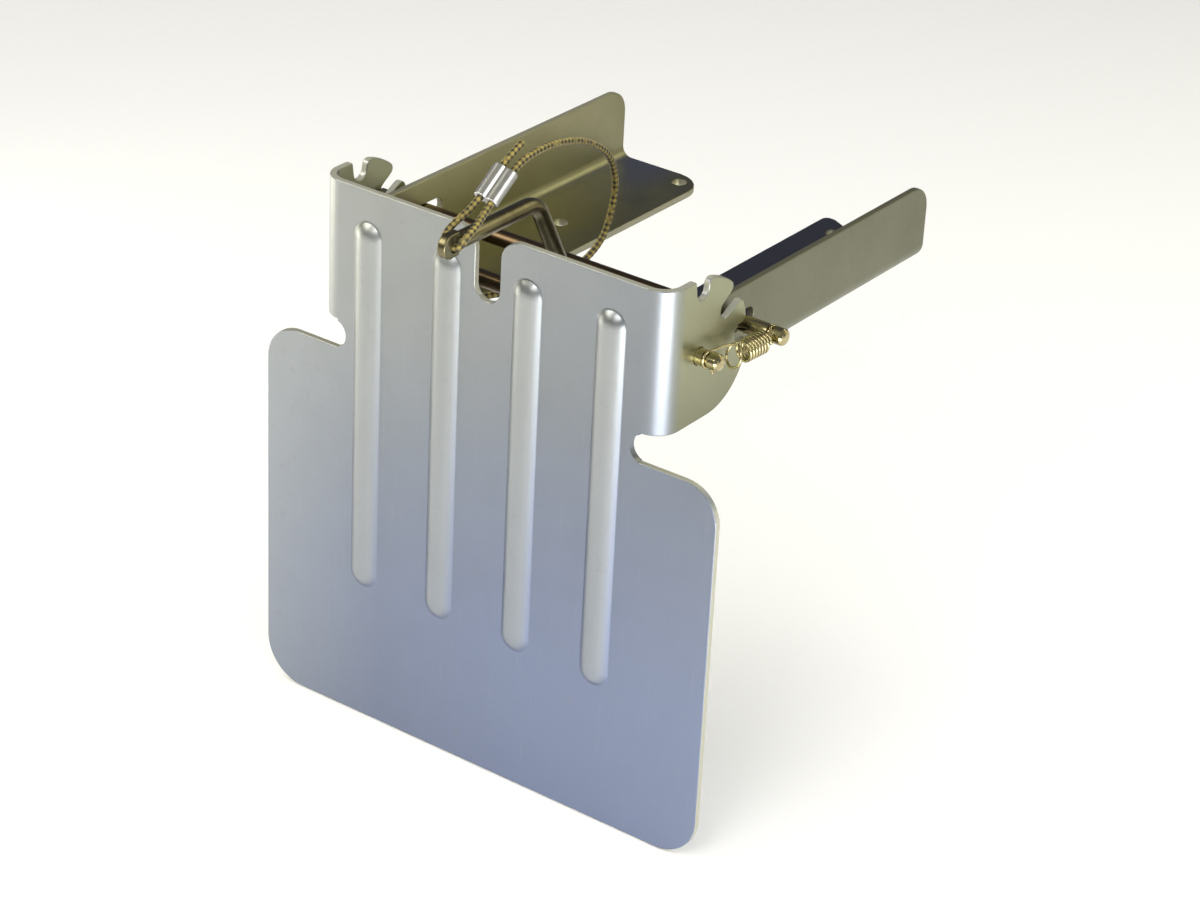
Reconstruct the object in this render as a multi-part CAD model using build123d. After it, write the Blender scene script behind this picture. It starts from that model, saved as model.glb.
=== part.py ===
from build123d import *
import math
import os

# Trolling plate for an outboard motor. Millimetres, +Z up, +X across the plate,
# +Y from the plate towards the motor.
#
# Construction frame: x = 0 on the middle plane, y = 0 on the plate's front face,
# z = 0 on the plate's top edge. Everything is moved at the end so that the origin
# is the centre of the four outer bolt holes, on the underside of the two flanges.

# ---------------------------------------------------------------- sheet
T = 4.0                  # sheet thickness of the plate and the brackets
EDGE = 0.7               # rounding of the sheared and tumbled sheet edges

# ---------------------------------------------------------------- plate
W = 304.8                # lower plate width
Z_BOTTOM = -326.8        # lower edge
Z_SHOULDER = -99.0       # top of the wide part
R_BOTTOM = 25.8          # lower corners
R_SHOULDER = 21.3        # upper corners of the wide part
RELIEF_R = 8.2           # relief notch between ear and shoulder, round inner end
RELIEF_X = 104.0         # centre of that round end
X_EAR = 115.7            # outer face of the ears
R_BEND = 14.2            # outer bend radius of the ears
Z_EAR = -82.0            # lower edge of the ears
NOTCH_W = 16.8           # clearance notch for the lever, in the top edge
NOTCH_Z = -39.5          # its lowest point
NOTCH_LIP = 12.5         # rounding of its upper corners
RIB_PITCH = 53.75        # four pressed ribs
RIB_W = 18.75
RIB_TOP, RIB_LOW = -18.3, -242.0
RIB_H = 3.8              # height of the ribs above the front face
RIB_FOOT = 1.4           # concave rounding where they leave the plate

# ---------------------------------------------------------------- pivot, lock
ROD_R = 4.75             # both rods and the lever are 9.5 mm bar
PIVOT_Y, PIVOT_Z = 29.87, -43.99
RUN = 0.07               # running clearance, radial
LOBE_R = 42.6            # outer radius of the ear's lobes about the pivot
NOTCH_R = 37.2           # centre radius of the two end notches' round bottoms
NOTCH_HALF = 5.3         # half width of a notch
REST_GAP = 0.25          # lock rod clear of the lobes at rest
LOCK_REST = LOBE_R + ROD_R + REST_GAP        # centre radius of the lock rod at rest
LOCK_Y = PIVOT_Y + LOCK_REST
PIVOT_END = 129.6        # rod half lengths
LOCK_END = 137.8
PIVOT_GROOVE = 121.4     # grooves that hold the spring hooks
LOCK_GROOVE = 129.0
GROOVE_R = 3.55
GROOVE_HALF = 1.8

# ---------------------------------------------------------------- brackets
X_BR = 107.5             # outer face of the vertical flange
Z_BR_TOP = -24.5
Z_BR_LOW = -71.9
R_BR = 10.2              # outer bend radius
Y_BR_NEAR = PIVOT_Y - (Z_BR_TOP - PIVOT_Z)   # near end is round about the pivot
Y_BR_FAR = 265.7
X_FLANGE = 42.0          # inner edge of the left horizontal flange
X_FLANGE_R = 37.8        # inner edge of the right one
Y_TONGUE = 271.6         # the right flange's far inner corner stands out a little
R_BR_TOP = 15.0          # far top corner
R_FLANGE = 19.5          # far inner corner
SLOT_HALF = 5.1          # half height of the lock slot
SLOT_Y0, SLOT_Y1 = 53.4, 91.5
HOLE_R = 4.8             # flange bolt holes
BOLT_X = 54.4            # outer four holes
BOLT_Y0, BOLT_Y1 = 132.1, 254.5
MID_X, MID_Y = 71.1, 160.0

# ---------------------------------------------------------------- lever
ARM_Z = 4.3              # height of the lever's arm
LEG = (0.477, -0.879)    # direction of the leg, in y and z
BEND_R = 16.0
EYE_Y, EYE_Z = -31.4, 2.9
TIP_END = -40.2
TIP_HALF_X = 2.6         # half thickness of the flattened tip
TIP_HALF_Z = 6.9
EYE_R = 3.1

# ---------------------------------------------------------------- cord
CORD_D = 4.0
FER_A = (-3.7, 19.7)     # lower and upper end of the crimped ferrule, y and z
FER_B = (13.2, 31.6)
FER_X = 3.2              # its two bores
FER_R = 3.85             # outer radius of its two barrels
FER_TURN = 25.0          # turned about its own axis, degrees
COIL_C = (-73.5, 39.8)   # coil of the spare length, lying on the left flange
COIL_IN, COIL_OUT = 15.8, 24.3
COIL_Z0, COIL_Z1 = -67.7, -55.2

ORIGIN_Y = (BOLT_Y0 + BOLT_Y1) / 2
ORIGIN = Vector(0, ORIGIN_Y, Z_BR_LOW)
os.makedirs("parts", exist_ok=True)


def save(name, shape):
    moved = shape.moved(Location((-ORIGIN.X, -ORIGIN.Y, -ORIGIN.Z)))
    moved.label = name
    export_step(moved, f"parts/{name}.step")
    print(f"{name}: {shape.volume / 1000:.2f} cm3")


def xz(sketch, y0, thick):
    """A sketch drawn in x and z, standing at y0 and thickened towards +Y."""
    return extrude(Plane((0, y0, 0), x_dir=(1, 0, 0), z_dir=(0, -1, 0)) * sketch, -thick)


def yz(sketch, x0, thick):
    """A sketch drawn in y and z, standing at x0 and thickened towards +X."""
    return extrude(Plane((x0, 0, 0), x_dir=(0, 1, 0), z_dir=(1, 0, 0)) * sketch, thick)


def near(vertices, points, tol=0.6):
    out = []
    for p in points:
        best = min(vertices, key=lambda v: math.hypot(v.X - p[0], v.Y - p[1]))
        if math.hypot(best.X - p[0], best.Y - p[1]) < tol:
            out.append(best)
        else:
            print("no vertex at", p, "nearest", (round(best.X, 2), round(best.Y, 2)))
    return out


# ================================================================ plate sheet
x_flat = X_EAR - R_BEND
zr = Z_SHOULDER + RELIEF_R
lower = Pos(0, (Z_SHOULDER + Z_BOTTOM) / 2) * Rectangle(W, Z_SHOULDER - Z_BOTTOM)
lower = fillet(near(lower.vertices(), [(W / 2, Z_BOTTOM), (-W / 2, Z_BOTTOM)]), R_BOTTOM)
lower = fillet(near(lower.vertices(), [(W / 2, Z_SHOULDER), (-W / 2, Z_SHOULDER)]), R_SHOULDER)
upper = Pos(0, (Z_SHOULDER - 20) / 2) * Rectangle(2 * x_flat, -(Z_SHOULDER - 20))
flat = lower + upper
for s in (1, -1):
    flat -= Pos(s * RELIEF_X, zr) * Circle(RELIEF_R)
    flat -= Pos(s * (RELIEF_X + 30), zr) * Rectangle(60, 2 * RELIEF_R)
# lever notch, drawn as a U with wide rounded lips
half = NOTCH_W / 2
flat -= Pos(0, NOTCH_Z + half) * Circle(half)
flat -= Pos(0, (NOTCH_Z + half) / 2) * Rectangle(NOTCH_W, -(NOTCH_Z + half))
flat = fillet(near(flat.vertices(), [(half, 0), (-half, 0)]), NOTCH_LIP)
body = xz(flat, 0, T)

# ears: outline in y and z
ear = Pos((R_BEND + PIVOT_Y) / 2, Z_EAR / 2) * Rectangle(PIVOT_Y - R_BEND, -Z_EAR)
ear += Pos(PIVOT_Y, PIVOT_Z) * Circle(LOBE_R)
ear -= Pos(0, -100) * Rectangle(2 * R_BEND, 400)
low_c, low_r = (40.2, -47.4), 34.6
ear -= Pos(60, Z_EAR - 20) * Rectangle(120, 40)
cut = Pos(75, -75) * Rectangle(90, 50) - Pos(*low_c) * Circle(low_r)
cut -= Pos(20, -75) * Rectangle(40.4, 100)
ear -= cut
ear += Pos(*low_c) * Circle(low_r)
ear -= Pos(0, -100) * Rectangle(2 * R_BEND, 400)
ear -= Pos(60, Z_EAR - 20) * Rectangle(120, 40)
# above the front notch nothing stands out past the lobes, so the lock rod passes them
sector = Pos(PIVOT_Y + 40, PIVOT_Z + 40) * Rectangle(80, 80)
ear -= sector - Pos(PIVOT_Y, PIVOT_Z) * Circle(LOBE_R)


def notch(angle, centre_r, half_w, axis=None, flare=0.0):
    """Round-bottomed notch, open outwards."""
    a = math.radians(angle)
    c = (PIVOT_Y + centre_r * math.cos(a), PIVOT_Z + centre_r * math.sin(a))
    ax = angle if axis is None else axis
    length = 40
    trap = Polygon((0, -half_w), (length, -half_w - flare * length),
                   (length, half_w + flare * length), (0, half_w), align=None)
    return Pos(*c) * (Circle(half_w) + Rot(0, 0, ax) * trap)


ear -= notch(90, NOTCH_R, NOTCH_HALF, flare=0.16)
ear -= notch(40, 29.3, 4.9, axis=31, flare=0.05)
ear -= notch(0, NOTCH_R, NOTCH_HALF)
ear = ear.face() if hasattr(ear, "face") else ear
corners = [v for v in ear.vertices()
           if v.X > R_BEND + 0.5 and math.hypot(v.X - PIVOT_Y, v.Y - PIVOT_Z) > 40.5
           and v.Y > -60]
print("ear corners", [(round(v.X, 1), round(v.Y, 1)) for v in corners])
for v in corners:
    d = math.hypot(v.X - PIVOT_Y, v.Y - PIVOT_Z)
    a = math.degrees(math.atan2(v.Y - PIVOT_Z, v.X - PIVOT_Y))
    r = 1.6 if a > 95 or a < 0 else 3.8
    try:
        ear = fillet(near(ear.vertices(), [(v.X, v.Y)], 0.05), r)
    except Exception as err:
        print("corner not rounded", round(v.X, 1), round(v.Y, 1), err)
ear -= Pos(PIVOT_Y, PIVOT_Z) * Circle(ROD_R + RUN)
print("ear width about the pivot", ear.bounding_box())

corner = Circle(R_BEND) - Circle(R_BEND - T)
corner = corner & (Pos(R_BEND, -R_BEND) * Rectangle(2 * R_BEND, 2 * R_BEND))
for s in (1, -1):
    bend = extrude(Plane((s * x_flat, R_BEND, Z_EAR), x_dir=(s, 0, 0), z_dir=(0, 0, s)) * corner,
                   s * -Z_EAR)
    body += bend
    body += yz(ear, X_EAR - T if s > 0 else -X_EAR, T)

# pressed ribs: a round crown with ball ends on the front, the same hollow behind
crown_r = ((RIB_W / 2) ** 2 + RIB_H ** 2) / (2 * RIB_H)
crown_y = crown_r - RIB_H                       # the crown's centre line, behind the front face
end_up, end_low = RIB_TOP - RIB_W / 2, RIB_LOW + RIB_W / 2


def crown(x, r):
    rod = Pos(x, crown_y, (end_up + end_low) / 2) * Cylinder(r, end_up - end_low)
    return rod + Pos(x, crown_y, end_up) * Sphere(r) + Pos(x, crown_y, end_low) * Sphere(r)


front_half = Pos(0, -50, -150) * Box(400, 100, 600)
for i in (-1.5, -0.5, 0.5, 1.5):
    outer = crown(i * RIB_PITCH, crown_r) & front_half
    hollow = crown(i * RIB_PITCH, crown_r - T) & (Pos(0, T, 0) * front_half)
    body += outer
    foot = [e for e in body.edges()
            if all(abs(q.Y) < 1e-4 and abs(q.X - i * RIB_PITCH) < RIB_W / 2 + 0.2
                   and RIB_LOW - 0.3 < q.Z < RIB_TOP + 0.3
                   for q in (e.position_at(0), e.position_at(0.5), e.position_at(1)))]
    body = fillet(foot, RIB_FOOT)
    body -= hollow
    mouth = [e for e in body.edges()
             if all(abs(q.Y - T) < 1e-4 and abs(q.X - i * RIB_PITCH) < RIB_W / 2
                    and RIB_LOW < q.Z < RIB_TOP
                    for q in (e.position_at(0), e.position_at(0.5), e.position_at(1)))]
    body = fillet(mouth, 0.9)
    print("rib edges", len(foot), len(mouth))
body = body.solid() if hasattr(body, "solid") else body
print("plate faces", len(body.faces()), "valid", body.is_valid)

# rounded sheet edges
rim = []
for e in body.edges():
    c = e.center()
    a, b = e.position_at(0), e.position_at(1)
    on_front = all(abs(p.Y) < 1e-4 for p in (a, b, c))
    on_back = all(abs(p.Y - T) < 1e-4 for p in (a, b, c))
    on_out = all(abs(abs(p.X) - X_EAR) < 1e-4 for p in (a, b, c))
    on_in = all(abs(abs(p.X) - X_EAR + T) < 1e-4 for p in (a, b, c))
    rib = any(abs(abs(c.X) - abs(i) * RIB_PITCH) < RIB_W / 2 + 1 for i in (0.5, 1.5)) \
        and RIB_LOW - 3 < c.Z < RIB_TOP + 3
    hole = math.hypot(c.Y - PIVOT_Y, c.Z - PIVOT_Z) < ROD_R + 1
    vertical = abs(a.X - b.X) < 1e-4 and abs(abs(a.X) - x_flat) < 1e-3
    tangent = abs(a.Y - R_BEND) < 1e-3 and abs(b.Y - R_BEND) < 1e-3
    arc = all(abs(math.hypot(abs(p.X) - x_flat, p.Y - R_BEND) - r) < 1e-3
              for p in (a, b, c) for r in ())
    if (on_front or on_back) and not rib and not vertical:
        rim.append(e)
    elif (on_out or on_in) and not tangent:
        rim.append(e)
for e in body.edges():
    c = e.position_at(0.5)
    for r in (R_BEND, R_BEND - T):
        if abs(math.hypot(abs(c.X) - x_flat, c.Y - R_BEND) - r) < 1e-3 \
                and (abs(c.Z) < 1e-3 or abs(c.Z - Z_EAR) < 1e-3) and c.Y < R_BEND:
            rim.append(e)
plate = None
for size in (EDGE, 0.5, 0.35):
    try:
        plate = fillet(rim, size)
        if plate.is_valid:
            print("edge rounding", size)
            break
        plate = None
    except Exception as err:
        print("rounding", size, "failed", str(err)[:80])
if plate is None:
    plate = body
save("trolling_plate", plate)

# ================================================================ brackets
for name, s in (("right_bracket", 1), ("left_bracket", -1)):
    web = Pos((Y_BR_NEAR + Y_BR_FAR) / 2, (Z_BR_TOP + Z_BR_LOW + R_BR) / 2) * Rectangle(
        Y_BR_FAR - Y_BR_NEAR, Z_BR_TOP - Z_BR_LOW - R_BR)
    web = fillet(near(web.vertices(), [(Y_BR_FAR, Z_BR_TOP)]), R_BR_TOP)
    r_near = Z_BR_TOP - PIVOT_Z
    trim = Pos(Y_BR_NEAR + r_near / 2, PIVOT_Z + r_near / 2) * Rectangle(r_near, r_near)
    web = web - trim + (trim & (Pos(PIVOT_Y, PIVOT_Z) * Circle(r_near)))
    web -= Pos(PIVOT_Y, PIVOT_Z) * Circle(ROD_R + 0.04)
    web -= Pos((SLOT_Y0 + SLOT_Y1) / 2, PIVOT_Z) * SlotOverall(SLOT_Y1 - SLOT_Y0, 2 * SLOT_HALF)
    x_in = X_BR - T
    br = yz(web, x_in if s > 0 else -X_BR, T)
    # bend between the two flanges, along y
    ring = Circle(R_BR) - Circle(R_BR - T)
    ring = ring & (Pos(R_BR, -R_BR) * Rectangle(2 * R_BR, 2 * R_BR))
    pl = Plane((s * (X_BR - R_BR), Y_BR_FAR, Z_BR_LOW + R_BR), x_dir=(s, 0, 0), z_dir=(0, -s, 0))
    bend = extrude(pl * ring, s * (Y_BR_FAR - Y_BR_NEAR))
    x_fl = X_FLANGE_R if s > 0 else X_FLANGE
    flange = Pos((x_fl + X_BR - R_BR) / 2, (Y_BR_NEAR + Y_BR_FAR) / 2) * Rectangle(
        X_BR - R_BR - x_fl, Y_BR_FAR - Y_BR_NEAR)
    if s > 0:
        flange = make_face(Polyline((x_fl, Y_BR_NEAR), (X_BR - R_BR, Y_BR_NEAR), (X_BR - R_BR, Y_BR_FAR),
                                    (56.0, Y_BR_FAR), (44.5, Y_TONGUE), (x_fl, Y_TONGUE), close=True))
        flange = fillet(near(flange.vertices(), [(x_fl, Y_TONGUE)]), 4.2)
        flange = fillet(near(flange.vertices(), [(44.5, Y_TONGUE)]), 8.0)
        flange = fillet(near(flange.vertices(), [(56.0, Y_BR_FAR)]), 8.0)
    else:
        flange = fillet(near(flange.vertices(), [(x_fl, Y_BR_FAR)]), R_FLANGE)
    flange = fillet(near(flange.vertices(), [(x_fl, Y_BR_NEAR)]), 8.0)
    for hx, hy in ((BOLT_X, BOLT_Y0), (BOLT_X, BOLT_Y1), (MID_X, MID_Y)):
        flange -= Pos(hx, hy) * Circle(HOLE_R)
    fl = extrude(flange, T)
    if s < 0:
        fl = mirror(fl, Plane.YZ)
    fl = Pos(0, 0, Z_BR_LOW) * fl
    br = br + bend + fl
    br = br.solid()
    rims = []
    for e in br.edges():
        c = e.position_at(0.5)
        a, b = e.position_at(0), e.position_at(1)
        low = abs(c.Z - Z_BR_LOW) < 1e-3 and abs(a.Z - c.Z) < 1e-3
        top = abs(c.Z - Z_BR_LOW - T) < 1e-3 and abs(a.Z - c.Z) < 1e-3 and abs(c.X) < X_BR - R_BR + 0.01
        out = abs(abs(c.X) - X_BR) < 1e-3 and abs(abs(a.X) - X_BR) < 1e-3
        inn = abs(abs(c.X) - x_in) < 1e-3 and abs(abs(a.X) - x_in) < 1e-3
        seam = abs(a.Y - b.Y) > 100 and (abs(abs(c.X) - (X_BR - R_BR)) < 1e-3
                                         or abs(c.Z - Z_BR_LOW - R_BR) < 1e-3)
        hole = False
        for hx, hy in ((BOLT_X, BOLT_Y0), (BOLT_X, BOLT_Y1), (MID_X, MID_Y)):
            if math.hypot(abs(c.X) - hx, c.Y - hy) < HOLE_R + 0.5 and c.Z < Z_BR_LOW + T + 1:
                hole = True
        bore = math.hypot(c.Y - PIVOT_Y, c.Z - PIVOT_Z) < ROD_R + 0.5
        arc = any(abs(math.hypot(abs(c.X) - (X_BR - R_BR), c.Z - Z_BR_LOW - R_BR) - r) < 1e-3
                  for r in (R_BR, R_BR - T)) and abs(a.Y - b.Y) < 1e-3 and abs(a.X - b.X) > 1
        if (low or top or out or inn or arc) and not seam and not hole and not bore:
            rims.append(e)
    done = None
    for size in (EDGE, 0.45):
        try:
            done = fillet(rims, size)
            if done.is_valid:
                print(name, "edge rounding", size)
                break
            done = None
        except Exception as err:
            print(name, "rounding", size, "failed", str(err)[:80])
    save(name, done if done is not None else br)


# ================================================================ rods
def rod(half_len, groove, y, z):
    pts = [(0, 0), (0, ROD_R)]
    pts += [(groove - GROOVE_HALF, ROD_R), (groove - GROOVE_HALF + 0.35, GROOVE_R),
            (groove + GROOVE_HALF - 0.35, GROOVE_R), (groove + GROOVE_HALF, ROD_R),
            (half_len - 1.9, ROD_R), (half_len - 0.7, ROD_R - 0.75), (half_len, ROD_R - 2.5),
            (half_len, 0)]
    outline = Polyline(*pts, close=True)
    prof = make_face(outline)
    halfrod = revolve(prof, Axis.X)
    full = halfrod + mirror(halfrod, Plane.YZ)
    return Pos(0, y, z) * full


save("pivot_rod", rod(PIVOT_END, PIVOT_GROOVE, PIVOT_Y, PIVOT_Z).solid())
save("lock_rod", rod(LOCK_END, LOCK_GROOVE, LOCK_Y, PIVOT_Z).solid())

# ================================================================ lever
ny, nz = LEG[1], -LEG[0]                    # from the lock rod towards the leg
fy, fz = LOCK_Y + ny * 2 * ROD_R, PIVOT_Z + nz * 2 * ROD_R
ey, ez = fy + LEG[0] * 3.6, fz + LEG[1] * 3.6
t = (ARM_Z - fz) / LEG[1]
cy = fy + LEG[0] * t
path = FilletPolyline((0, TIP_END + 13.0, ARM_Z), (0, cy, ARM_Z), (0, ey, ez), radius=BEND_R)
start = path.position_at(0)
lever = sweep(Plane(start, z_dir=path.tangent_at(0)) * Circle(ROD_R), path=path)
leg_end = lever.faces().sort_by(Axis.Z)[0]
lever = fillet(leg_end.edges(), 1.2)
# flattened tip with a cross hole
tip_outline = Pos(TIP_END + TIP_HALF_Z, ARM_Z - 0.4) * Circle(TIP_HALF_Z)
tip_outline += Pos(TIP_END + TIP_HALF_Z + 3.0, ARM_Z - 0.3) * Rectangle(6.0, 2 * TIP_HALF_Z - 0.4)
tip = yz(tip_outline, -TIP_HALF_X, 2 * TIP_HALF_X)
tip = fillet(tip.edges().filter_by(Plane.YZ), 1.1)
neck_a = Plane((0, TIP_END + 9.4, ARM_Z - 0.3), x_dir=(1, 0, 0), z_dir=(0, 1, 0)) * RectangleRounded(
    2 * TIP_HALF_X, 2 * TIP_HALF_Z - 0.8, 1.4)
neck_b = Plane((0, TIP_END + 15.4, ARM_Z), x_dir=(1, 0, 0), z_dir=(0, 1, 0)) * RectangleRounded(
    2 * ROD_R - 0.1, 2 * ROD_R - 0.1, ROD_R - 0.3)
neck = loft([neck_a, neck_b])
lever = lever + tip + neck
eye = Pos(0, EYE_Y, EYE_Z) * Rot(0, 90, 0) * Cylinder(EYE_R, 30)
lever -= eye
lever = lever.solid()
print("lever", lever.is_valid, len(lever.faces()), "leg end", round(ey, 1), round(ez, 1))
save("release_lever", lever)

# weld: two beads in the grooves beside the line where the leg touches the lock rod
my, mz = LOCK_Y + ny * ROD_R, PIVOT_Z + nz * ROD_R
beads = []
for s in (1, -1):
    bead = Pos(s * 4.1, my, mz) * Sphere(2.9)
    beads.append(scale(Pos(0, 0, 0) * bead, by=(1, 1, 1)))
for t in (-4.3, 4.0):
    beads.append(Pos(0, my + LEG[0] * t, mz + LEG[1] * t) * Sphere(2.6))
weld = beads[0]
for b in beads[1:]:
    weld = weld + b
rod_cut = Pos(0, LOCK_Y, PIVOT_Z) * Rot(0, 90, 0) * Cylinder(ROD_R, 60)
leg_plane = Plane((0, fy, fz), z_dir=(0, LEG[0], LEG[1]))
leg_cut = extrude(leg_plane * Circle(ROD_R), 30, both=True)
weld = weld - rod_cut - leg_cut
solids = sorted(weld.solids(), key=lambda s: -s.volume)
print("weld solids", [round(s.volume, 1) for s in solids])
keep = [s for s in solids if s.volume > 1.0]
save("lever_weld", Compound(children=keep) if len(keep) > 1 else keep[0])

# ================================================================ springs
WIRE = 1.5
COIL_OD = 13.0
SAG = 3.0                # the coiled body hangs this far below the line between the rods
for name, s in (("right_spring", 1), ("left_spring", -1)):
    a = Vector(s * PIVOT_GROOVE, PIVOT_Y, PIVOT_Z)
    b = Vector(s * LOCK_GROOVE, LOCK_Y, PIVOT_Z)
    u = (b - a).normalized()
    total = (b - a).length
    hook_r = GROOVE_R + WIRE / 2 + 0.1
    b0, b1 = 17.6, total - 6.3                # the coiled body, along the axis from a
    down = Vector(0, 0, -SAG)
    base = Plane(a + down + u * b0, z_dir=u)
    spring = extrude(base * (Circle(COIL_OD / 2) - Circle(COIL_OD / 2 - WIRE)), b1 - b0)
    # hooks: a half turn behind each rod and two wires to the body's rim
    for c, sign, end in ((a, 1, b0), (b, -1, b1)):
        w = u * sign
        reach = (end if sign > 0 else total - end) + 0.6
        up = Vector(0, 0, 1)
        p = [c + down + w * reach + up * (COIL_OD - WIRE) / 2, c + up * hook_r]
        arc_mid = c - w * hook_r
        top_line = Line(p[0], p[1])
        arc = ThreePointArc(p[1], arc_mid, c - up * hook_r)
        tail = Line(c - up * hook_r, c - up * hook_r + w * 2.0)
        wire_path = Wire([top_line, arc, tail])
        hook = sweep(Plane(p[0], z_dir=(p[1] - p[0]).normalized()) * Circle(WIRE / 2), path=wire_path)
        spring += hook
        # end plate of the coil: the last turn bent inwards to carry the hook
        rim_c = Plane(c + down + w * (reach - 0.6 - WIRE / 2), z_dir=w)
        bar = extrude(rim_c * (Pos(0, 0) * RectangleRounded(WIRE, COIL_OD - WIRE, WIRE / 2 - 0.01)), WIRE)
        spring += bar
    spring = spring.solids()
    spring = sorted(spring, key=lambda q: -q.volume)
    print(name, "solids", [round(q.volume, 1) for q in spring])
    save(name, spring[0])

# ================================================================ ferrule and cord
fa, fb = Vector(0, *FER_A), Vector(0, *FER_B)
axis = (fb - fa).normalized()
fer_len = (fb - fa).length
fer_side = Vector(math.cos(math.radians(FER_TURN)), axis.Z * math.sin(math.radians(FER_TURN)),
                  -axis.Y * math.sin(math.radians(FER_TURN)))
pf = Plane(fa, x_dir=fer_side, z_dir=axis)
sec = Pos(FER_X, 0) * Circle(FER_R) + Pos(-FER_X, 0) * Circle(FER_R) + Rectangle(2 * FER_X, 5.8)
sec = fillet([v for v in sec.vertices() if abs(v.X) < 1.5], 0.55)
fer = extrude(pf * sec, fer_len)
ends = fer.faces().sort_by(Axis(tuple(fa), tuple(axis)))
fer = fillet(ends[0].edges() + ends[-1].edges(), 0.5)
for s in (1, -1):
    fer -= extrude(pf * (Pos(s * FER_X, 0) * Circle(CORD_D / 2 + 0.05)), fer_len)
save("crimp_ferrule", fer.solid())

coil_entry_angle = math.radians(-33)
ent = (COIL_C[0] + (COIL_OUT - CORD_D / 2) * math.cos(coil_entry_angle),
       COIL_C[1] + (COIL_OUT - CORD_D / 2) * math.sin(coil_entry_angle))
def bore(side, along):
    """A point on one bore's line; along is measured past the nearer end of the ferrule."""
    base = fb + axis * along if along > 0 else fa + axis * along
    q = base + fer_side * (side * FER_X)
    return (q.X, q.Y, q.Z)


route = [
    (-2.2, 28.9, 41.0),
    bore(-1, 5.5),
    bore(-1, -6.0),
    (-6.2, -19.2, 11.6),
    (-7.2, -26.6, 7.4),
    (-5.6, EYE_Y, EYE_Z),
    (5.6, EYE_Y, EYE_Z),
    (7.2, -28.6, 8.8),
    (6.6, -19.6, 11.4),
    bore(1, -5.0),
    bore(1, 5.0),
    (2.8, 30.8, 35.6),
    (2.4, 45.6, 35.8),
    (2.0, 60.2, 33.6),
    (1.5, 75.6, 29.4),
    (1.0, 92.6, 20.8),
    (0.5, 104.6, 11.0),
    (0.2, 111.0, -2.0),
    (0.0, 111.8, -13.0),
    (-0.4, 109.0, -25.6),
    (-1.0, 104.8, -36.4),
    (-2.4, 97.6, -43.9),
    (-5.4, 89.2, -50.2),
    (-11.0, 80.6, -57.0),
    (-20.0, 70.2, -61.6),
    (-31.0, 57.0, -63.9),
    (-42.0, 42.6, -65.2),
    (ent[0], ent[1], -65.6),
]
for p in route:
    print("route", tuple(round(v, 2) for v in p))
pts = [Vector(*p) for p in route]
runs = [(pts[i + 1] - pts[i]).length for i in range(len(pts) - 1)]
radii = []
for i in range(1, len(pts) - 1):
    d1 = (pts[i] - pts[i - 1]).normalized()
    d2 = (pts[i + 1] - pts[i]).normalized()
    turn = d1.get_angle(d2)
    r = 0.45 * min(runs[i - 1], runs[i]) / math.tan(math.radians(turn / 2))
    radii.append(r)
    print(f"cord point {i:2d} at {tuple(round(v, 1) for v in route[i])} run {runs[i]:5.1f} turn {turn:5.1f} radius {r:6.1f}")
line = FilletPolyline(*pts, radius=radii)
tube = sweep(Plane(line.position_at(0), z_dir=line.tangent_at(0)) * Circle(CORD_D / 2), path=line)
length = line.length
print("cord tube length", round(length, 1), "volume ratio",
      round(tube.volume / (math.pi * CORD_D ** 2 / 4 * length), 4))
coil = Pos(COIL_C[0], COIL_C[1], COIL_Z0) * (
    extrude(Circle(COIL_OUT) - Circle(COIL_IN), COIL_Z1 - COIL_Z0))
coil = fillet(coil.edges(), 1.6)
tube = tube - coil
tubes = sorted(tube.solids(), key=lambda q: -q.volume)
print("tube solids", [round(q.volume, 1) for q in tubes])
save("pull_cord", tubes[0])
save("cord_coil", coil.solid())
turns = 3 * 2 * math.pi * (COIL_OUT - 2.05) + 3 * 2 * math.pi * (COIL_IN + 2.1)
print("coil length", round(turns, 1))

# stopper knot on the free end, lying on the coil
knot = Pos(COIL_C[0] - 5.0, COIL_C[1] + 19.0, COIL_Z1 + 4.1) * (
    Rot(0, 90, 0) * (Cylinder(4.0, 9.0)))
knot = fillet(knot.edges(), 2.6)
save("cord_knot", knot.solid() if hasattr(knot, "solid") else knot)
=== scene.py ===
import math

import bpy
import bmesh
import numpy as np
from mathutils import Matrix, Vector


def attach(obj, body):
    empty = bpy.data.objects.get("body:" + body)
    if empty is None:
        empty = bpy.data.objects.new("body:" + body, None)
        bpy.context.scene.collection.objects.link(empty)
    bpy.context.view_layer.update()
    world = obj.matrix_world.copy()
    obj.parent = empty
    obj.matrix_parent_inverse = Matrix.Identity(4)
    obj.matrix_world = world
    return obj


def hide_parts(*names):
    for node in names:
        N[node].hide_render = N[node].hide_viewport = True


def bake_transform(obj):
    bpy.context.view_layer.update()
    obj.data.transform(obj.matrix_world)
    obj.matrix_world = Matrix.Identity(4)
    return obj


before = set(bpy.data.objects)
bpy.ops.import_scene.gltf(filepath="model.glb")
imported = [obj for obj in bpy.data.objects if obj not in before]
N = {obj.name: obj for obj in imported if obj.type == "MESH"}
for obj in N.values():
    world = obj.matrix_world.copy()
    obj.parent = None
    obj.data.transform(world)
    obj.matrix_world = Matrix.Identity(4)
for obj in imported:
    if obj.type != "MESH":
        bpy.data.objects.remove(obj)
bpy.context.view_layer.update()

# The CAD frame is the construction frame moved by this much, in millimetres:
# x = 0 on the middle plane, y = 0 on the plate's front face, z = 0 on its top edge.
OY, OZ = 193.3, -71.9


def P(x, y, z):
    """A point of the construction frame, in metres in the row frame."""
    return Vector((x / 1000, (y - OY) / 1000, (z - OZ) / 1000))


def A(pts):
    return np.array([tuple(P(*p)) for p in pts], float)


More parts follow.
